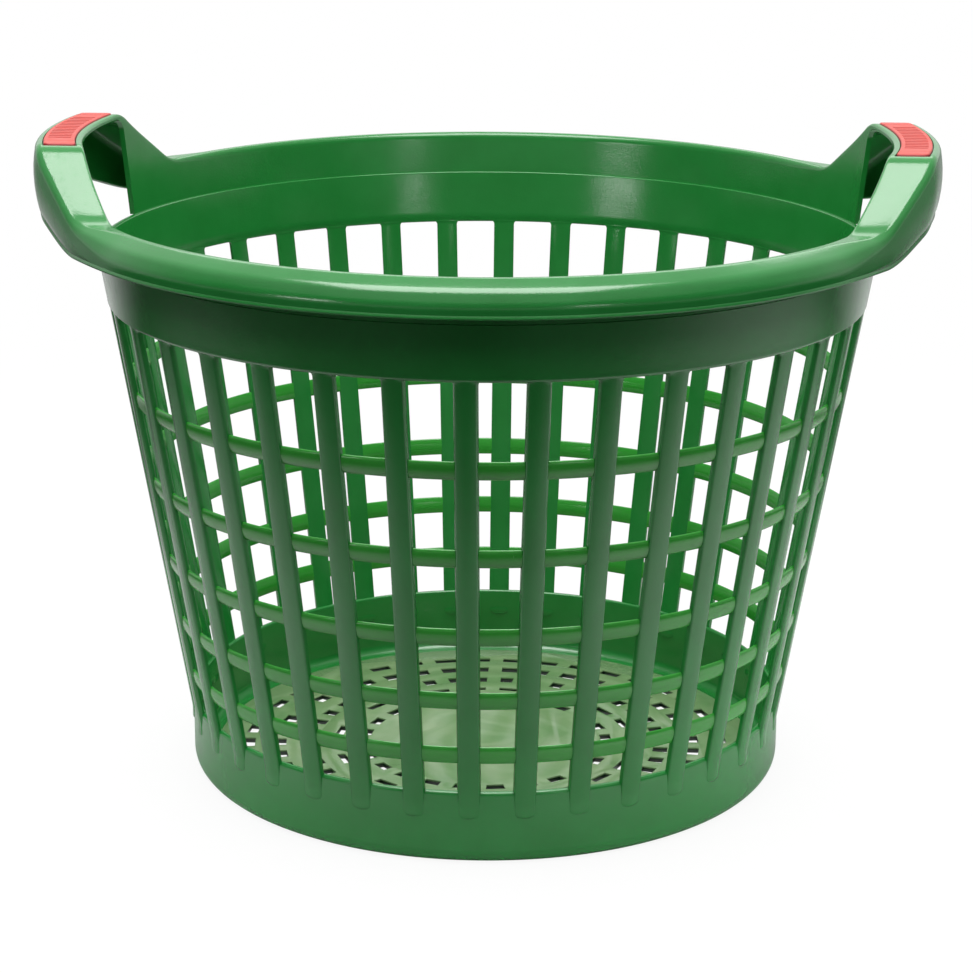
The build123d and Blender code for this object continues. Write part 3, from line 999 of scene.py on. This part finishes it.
class BASKET_OT_grip_pads(bpy.types.Operator):
    """Shape the soft pads in the handles' tops, with cross bars for grip"""

    bl_idname = "basket.grip_pads"
    bl_label = "Grip Pads"

    def execute(self, context):
        for name, side in (("grip_pad_right", 1.0), ("grip_pad_left", -1.0)):
            self.pad(name, side)
        return {"FINISHED"}

    def pad(self, name, side):
        """One pad, on the side that its sign gives."""
        half_long = RECESS_HALF - PAD_GAP
        half_wide = (RECESS_OUTER - RECESS_INNER) / 2 - PAD_GAP
        middle = (RECESS_OUTER + RECESS_INNER) / 2
        bars = [(step - (PAD_BARS - 1) / 2) * PAD_BAR_PITCH for step in range(PAD_BARS)]
        marks = [bar + edge * PAD_BAR_WIDTH / 2 for bar in bars for edge in (-1, 1)]
        marks += [PAD_END_GROOVE, -PAD_END_GROOVE]
        long_lines = pad_lines(half_long, marks)
        wide_lines = pad_lines(half_wide, (half_wide - PAD_BAR_INSET, PAD_BAR_INSET - half_wide))
        deselect()
        bpy.ops.mesh.primitive_grid_add(
            x_subdivisions=len(wide_lines) - 1, y_subdivisions=len(long_lines) - 1, size=1.0
        )
        pad = start_piece(name + "_soft")
        spots = []
        for vertex in pad.data.vertices:
            wide = wide_lines[round((vertex.co.x + 0.5) * (len(wide_lines) - 1))]
            long = long_lines[round((vertex.co.y + 0.5) * (len(long_lines) - 1))]
            spots.append(self.spot(wide, long, half_wide, half_long, bars))
        for vertex, (wide, long, height) in zip(pad.data.vertices, spots):
            radius = middle + wide
            vertex.co = (side * sqrt(radius**2 - long**2) * MM, side * long * MM, height * MM)
        bpy.ops.object.mode_set(mode="EDIT")
        bpy.ops.mesh.select_all(action="SELECT")
        bpy.ops.mesh.extrude_region_move(
            TRANSFORM_OT_translate={"value": (0, 0, -(RECESS_DEPTH + PAD_PROUD - PAD_EDGE) * MM)}
        )
        mesh = bmesh.from_edit_mesh(pad.data)
        for vertex in mesh.verts:
            if vertex.select:
                vertex.co.z = (handle_top(abs(vertex.co.y) / MM) - RECESS_DEPTH) * MM
        bmesh.update_edit_mesh(pad.data)
        close_seams()
        bpy.ops.object.mode_set(mode="OBJECT")
        shade(pad, 50.0)
        finish_piece(pad, soft_coral(), "grip_pad", name)

    def spot(self, wide, long, half_wide, half_long, bars):
        """Place and height of a point of the pad's top, with round corners and edges and raised bars."""
        edge = min(half_wide - abs(wide), half_long - abs(long))
        height = handle_top(abs(long)) + PAD_PROUD
        if edge < PAD_EDGE:
            height -= PAD_EDGE - sqrt(max(0.0, PAD_EDGE**2 - (PAD_EDGE - edge) ** 2))
        inside = abs(wide) < half_wide - PAD_BAR_INSET and abs(long) < half_long - PAD_BAR_MARGIN
        raised = any(abs(long - bar) < PAD_BAR_WIDTH / 2 for bar in bars)
        if inside and not raised and abs(long) < bars[-1]:
            height -= PAD_RELIEF
        if abs(abs(long) - PAD_END_GROOVE) < PAD_GROOVE_HALF and edge > PAD_GROOVE_END:
            height -= PAD_RELIEF
        over_wide = max(abs(wide) - (half_wide - PAD_CORNER), 0.0)
        over_long = max(abs(long) - (half_long - PAD_CORNER), 0.0)
        if over_wide > 0.0 and over_long > 0.0:
            share = max(over_wide, over_long) / hypot(over_wide, over_long)
            wide = (half_wide - PAD_CORNER + over_wide * share) * (1 if wide > 0 else -1)
            long = (half_long - PAD_CORNER + over_long * share) * (1 if long > 0 else -1)
        return wide, long, height


# Ground: its size, the centre and shape of the oval round the basket, and how pale it is across the oval,
# to both sides and behind; each span is from, to, value before and value after, in metres
GROUND_SIZE = 24.0
OVAL_SHIFT = (-0.06, 0.0, 0.0)
OVAL_SCALE = (0.6, 1.0, 1.0)
PALE_NEAR = (0.3, 0.54, 0.45, 0.03)
PALE_SIDES = (0.03, 0.22, 0.8, 1.35)
PALE_BEHIND = (0.3, 0.8, 0.0, 0.6)
MATT_GAIN = (0.17, 0.32, 2.9, 0.25)
WHITE_SHARE = (0.4, 1.0, 0.92, 1.0)

# Surround: heights at which its front changes, and the stretch from front to back
SKY_STOPS = (0.07, 0.15, 0.5, 0.68)
SKY_TURN = (-0.2, 0.6)

# Lights: place, target, width and depth in metres, power as a share of a setting, and rays that miss them
SOFTBOXES = {
    "top_softbox": ((-0.05, -0.26, 1.65), (-0.05, -0.26, 0.0), 1.2, 1.0, 1.0, "top_box", "diffuse"),
    "over_softbox": ((0.0, 0.0, 1.65), (0.0, 0.0, 0.0), 1.2, 1.0, 0.95, "top_box", "glossy"),
    "back_softbox": ((0.0, 1.3, 1.4), (0.0, 0.0, 0.3), 1.6, 0.5, 1.0, "back_box", "camera"),
    "left_softbox": ((-0.82, -0.98, 1.72), (0.0, -0.1, 0.2), 2.0, 0.8, 1.0, "side_box", "glossy"),
    "right_softbox": ((0.82, -0.98, 1.72), (0.0, -0.1, 0.2), 2.0, 0.8, 1.0, "side_box", "glossy"),
    "left_panel": ((-1.2, -1.33, 0.6), (0.0, 0.2, 0.28), 0.4, 0.1, 2.7, "panel", "camera"),
    "right_panel": ((0.84, -1.57, 0.62), (0.0, 0.2, 0.28), 0.2, 0.1, 1.0, "panel", "camera"),
}
SENSOR_WIDTH = 36.0
VIEW_END = 100.0


class BASKET_OT_stage(bpy.types.Operator):
    """Set up the ground, the soft studio light and the camera"""

    bl_idname = "basket.stage"
    bl_label = "Stage"

    def execute(self, context):
        self.ground()
        self.world(context.scene)
        self.lights(context.scene.basket_stage)
        self.camera(context.scene)
        context.scene.view_settings.view_transform = "Standard"
        return {"FINISHED"}

    def ground(self):
        """A wide ground with a soft shadow, white to the camera and pale near the basket to other rays."""
        deselect()
        bpy.ops.mesh.primitive_plane_add(size=GROUND_SIZE)
        ground = start_piece("ground")
        material, tree, shader, add = node_tree("ground_white")
        place = add("ShaderNodeTexCoord").outputs["Object"]
        oval = add("ShaderNodeMapping", {"Vector": place, "Location": OVAL_SHIFT, "Scale": OVAL_SCALE})
        reach = add("ShaderNodeVectorMath", {0: oval.outputs[0]}, operation="LENGTH").outputs["Value"]
        parts = add("ShaderNodeSeparateXYZ", {"Vector": place}).outputs
        aside = maths(add, "ABSOLUTE", parts["X"])
        close = maths(add, "MULTIPLY", ramp(add, reach, *PALE_NEAR), ramp(add, aside, *PALE_SIDES))
        bounce = maths(add, "MAXIMUM", close, ramp(add, parts["Y"], *PALE_BEHIND))
        shader.inputs["Roughness"].default_value = 0.9
        shader.inputs["Specular IOR Level"].default_value = 0.0
        glow = add("ShaderNodeEmission", {"Color": (1.0, 1.0, 1.0, 1.0), "Strength": 1.0})
        path = add("ShaderNodeLightPath").outputs
        gain = ramp(add, path["Is Glossy Ray"], 0.0, 1.0, ramp(add, reach, *MATT_GAIN), 1.0)
        pale = maths(add, "MULTIPLY", bounce, gain)
        dim = add("ShaderNodeCombineColor", {"Red": pale, "Green": pale, "Blue": pale}).outputs["Color"]
        body = mix_colour(add, path["Is Camera Ray"], dim, bpy.context.scene.basket_colours.ground)
        tree.links.new(body, shader.inputs["Base Color"])
        share = maths(add, "MULTIPLY", path["Is Camera Ray"], ramp(add, reach, *WHITE_SHARE))
        blend = add("ShaderNodeMixShader", {0: share, 1: shader.outputs[0], 2: glow.outputs[0]})
        tree.links.new(blend.outputs[0], tree.nodes["Material Output"].inputs["Surface"])
        ground.data.materials.append(material)

    def world(self, scene):
        """White to the camera; to other rays pale behind and dim in front, with a paler horizon and sky."""
        stage = scene.basket_stage
        world = bpy.data.worlds.new("studio_white")
        scene.world = world
        world.use_nodes = True
        tree = world.node_tree
        add = node_adder(tree)
        back = tree.nodes["Background"]
        back.inputs["Color"].default_value = (1.0, 1.0, 1.0, 1.0)
        direction = add("ShaderNodeTexCoord").outputs["Generated"]
        parts = add("ShaderNodeSeparateXYZ", {"Vector": direction}).outputs
        front = add("ShaderNodeValToRGB", {"Fac": parts["Z"]})
        levels = (stage.sky_low, stage.sky_front, stage.sky_front, stage.sky_high)
        for place in SKY_STOPS[1:-1]:
            front.color_ramp.elements.new(place)
        for stop, place, level in zip(front.color_ramp.elements, SKY_STOPS, levels):
            stop.position = place
            stop.color = (level, level, level, 1.0)
        depth = ramp(add, parts["Y"], *SKY_TURN, front.outputs["Color"], stage.sky_back)
        path = add("ShaderNodeLightPath").outputs
        strength = maths(add, "MAXIMUM", path["Is Camera Ray"], depth)
        tree.links.new(strength, back.inputs["Strength"])

    def lights(self, stage):
        """Softboxes overhead, behind and on both front sides, and two small panels low in front."""
        for name, (place, target, width, depth, share, setting, missed) in SOFTBOXES.items():
            deselect()
            bpy.ops.object.light_add(type="AREA", location=place)
            light = bpy.context.object
            light.name = name
            light.visible_camera = False
            setattr(light, "visible_" + missed, False)
            aim = Vector(target) - Vector(place)
            light.rotation_euler = aim.to_track_quat("-Z", "Y").to_euler()
            light.data.shape = "RECTANGLE"
            light.data.size = width
            light.data.size_y = depth
            light.data.energy = share * getattr(stage, setting)

    def camera(self, scene):
        """A long lens in front of the basket and a little above it."""
        stage = scene.basket_stage
        turn, pitch, roll = stage.camera_turn, stage.camera_pitch, stage.camera_roll
        deselect()
        bpy.ops.object.camera_add()
        camera = bpy.context.object
        camera.name = "viewer"
        heading = (-sin(turn), cos(turn))
        forward = (heading[0] * cos(pitch), heading[1] * cos(pitch), -sin(pitch))
        right = (heading[1], -heading[0], 0.0)
        up = (
            right[1] * forward[2] - right[2] * forward[1],
            right[2] * forward[0] - right[0] * forward[2],
            right[0] * forward[1] - right[1] * forward[0],
        )
        across = [cos(roll) * a + sin(roll) * b for a, b in zip(right, up)]
        above = [cos(roll) * b - sin(roll) * a for a, b in zip(right, up)]
        spot = (stage.camera_reach * sin(turn), -stage.camera_reach * cos(turn), stage.camera_height)
        camera.matrix_world = Matrix(
            [[across[i], above[i], -forward[i], spot[i]] for i in range(3)] + [[0.0, 0.0, 0.0, 1.0]]
        )
        camera.data.sensor_width = SENSOR_WIDTH
        camera.data.lens = stage.lens
        camera.data.clip_end = VIEW_END
        scene.camera = camera


class BASKET_PT_panel(bpy.types.Panel):
    """Sidebar panel with the basket's sizes, colours and building steps"""

    bl_label = "Garden Basket"
    bl_idname = "BASKET_PT_panel"
    bl_space_type = "VIEW_3D"
    bl_region_type = "UI"
    bl_category = "Basket"

    def draw(self, context):
        layout = self.layout
        for step in STEPS:
            layout.operator(step.bl_idname)
        for settings in GROUPS:
            group = getattr(context.scene, settings)
            box = layout.box()
            for name in group.__annotations__:
                box.prop(group, name)


STEPS = (
    BASKET_OT_base_band,
    BASKET_OT_floor_plate,
    BASKET_OT_ribs,
    BASKET_OT_hoops,
    BASKET_OT_collar,
    BASKET_OT_rim_and_handles,
    BASKET_OT_grip_pads,
    BASKET_OT_stage,
)
GROUPS = {
    "basket_sizes": BasketSizes,
    "basket_colours": BasketColours,
    "basket_stage": BasketStage,
}


def register():
    """Register the basket's settings, steps and panel."""
    for name, group in GROUPS.items():
        bpy.utils.register_class(group)
        setattr(bpy.types.Scene, name, PointerProperty(type=group))
    for step in STEPS:
        bpy.utils.register_class(step)
    bpy.utils.register_class(BASKET_PT_panel)


def unregister():
    """Take the basket's panel, steps and settings out again."""
    bpy.utils.unregister_class(BASKET_PT_panel)
    for step in reversed(STEPS):
        bpy.utils.unregister_class(step)
    for name, group in GROUPS.items():
        delattr(bpy.types.Scene, name)
        bpy.utils.unregister_class(group)


def main():
    """Build the basket and its stage."""
    register()
    bpy.ops.basket.base_band()
    bpy.ops.basket.floor_plate()
    bpy.ops.basket.ribs()
    bpy.ops.basket.hoops()
    bpy.ops.basket.collar()
    bpy.ops.basket.rim_and_handles()
    bpy.ops.basket.grip_pads()
    bpy.ops.basket.stage()


if __name__ == "__main__":
    main()
